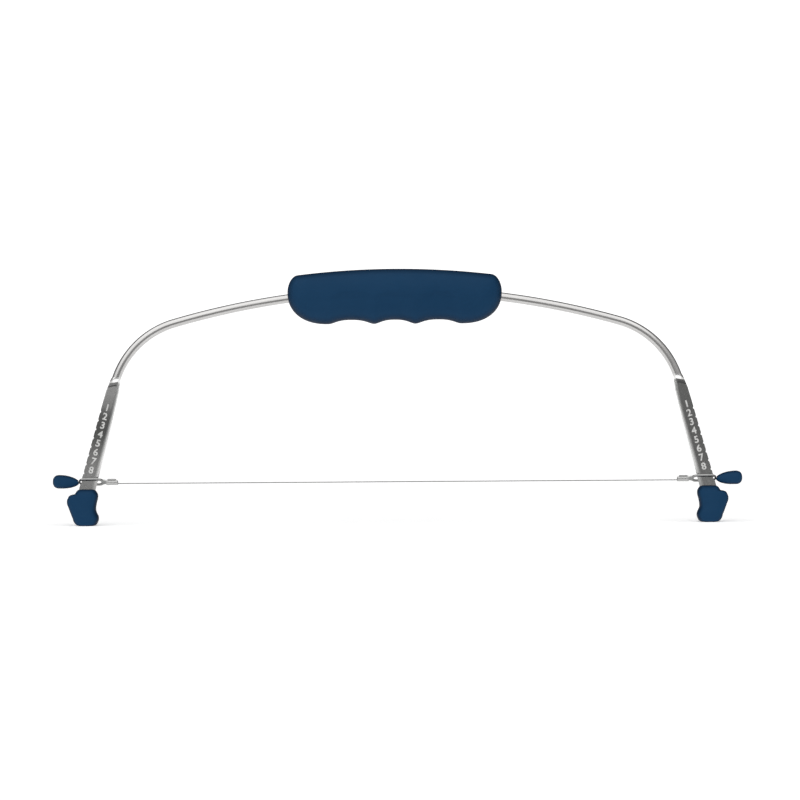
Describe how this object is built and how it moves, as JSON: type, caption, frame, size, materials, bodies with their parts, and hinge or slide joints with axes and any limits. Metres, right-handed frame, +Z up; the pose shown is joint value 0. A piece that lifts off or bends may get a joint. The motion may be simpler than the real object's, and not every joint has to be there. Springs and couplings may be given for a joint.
{
  "type": "bow wire cutter",
  "caption": "Free-standing bow of bent steel rod with a moulded handle, two plastic feet and a thin cutting wire clipped at an adjustable height between its notched arms.",
  "frame": {"origin": "on the table under the middle of the bow", "axes": "+X to the right along the wire, +Z up, and the front with the scale faces -Y"},
  "size_m": [0.3548, 0.022, 0.1312],
  "materials": {
    "polished_steel": "polished round rod, satin where it is pressed flat",
    "stamped_steel": "stamped sheet",
    "twisted_steel": "twisted fine wire",
    "navy_plastic": "satin moulded"
  },
  "bodies": {
    "frame": {"bow_rod": "polished_steel", "handle_front_shell": "navy_plastic", "handle_rear_shell": "navy_plastic", "left_foot": "navy_plastic", "right_foot": "navy_plastic"},
    "left_end": {"left_clip": "stamped_steel", "left_grip": "navy_plastic"},
    "right_end": {"right_clip": "stamped_steel", "right_grip": "navy_plastic"},
    "wire": {"cutting_wire": "twisted_steel"}
  },
  "joints": [
    {"name": "left_clip_slide", "type": "slide", "parent": "frame", "child": "left_end", "axis": [0.271, 0, 0.9626], "range_m": [0, 0.0376]},
    {"name": "right_clip_slide", "type": "slide", "parent": "frame", "child": "right_end", "axis": [-0.271, 0, 0.9626], "range_m": [0, 0.0376]},
    {"name": "wire_height", "type": "slide", "parent": "frame", "child": "wire", "axis": [0, 0, 1], "range_m": [0, 0.0362], "deforming": ["cutting_wire"]}
  ],
  "couplings": [
    {"joint": "right_clip_slide", "follows": "left_clip_slide", "ratio": 1},
    {"joint": "wire_height", "follows": "left_clip_slide", "ratio": 0.9626}
  ]
}
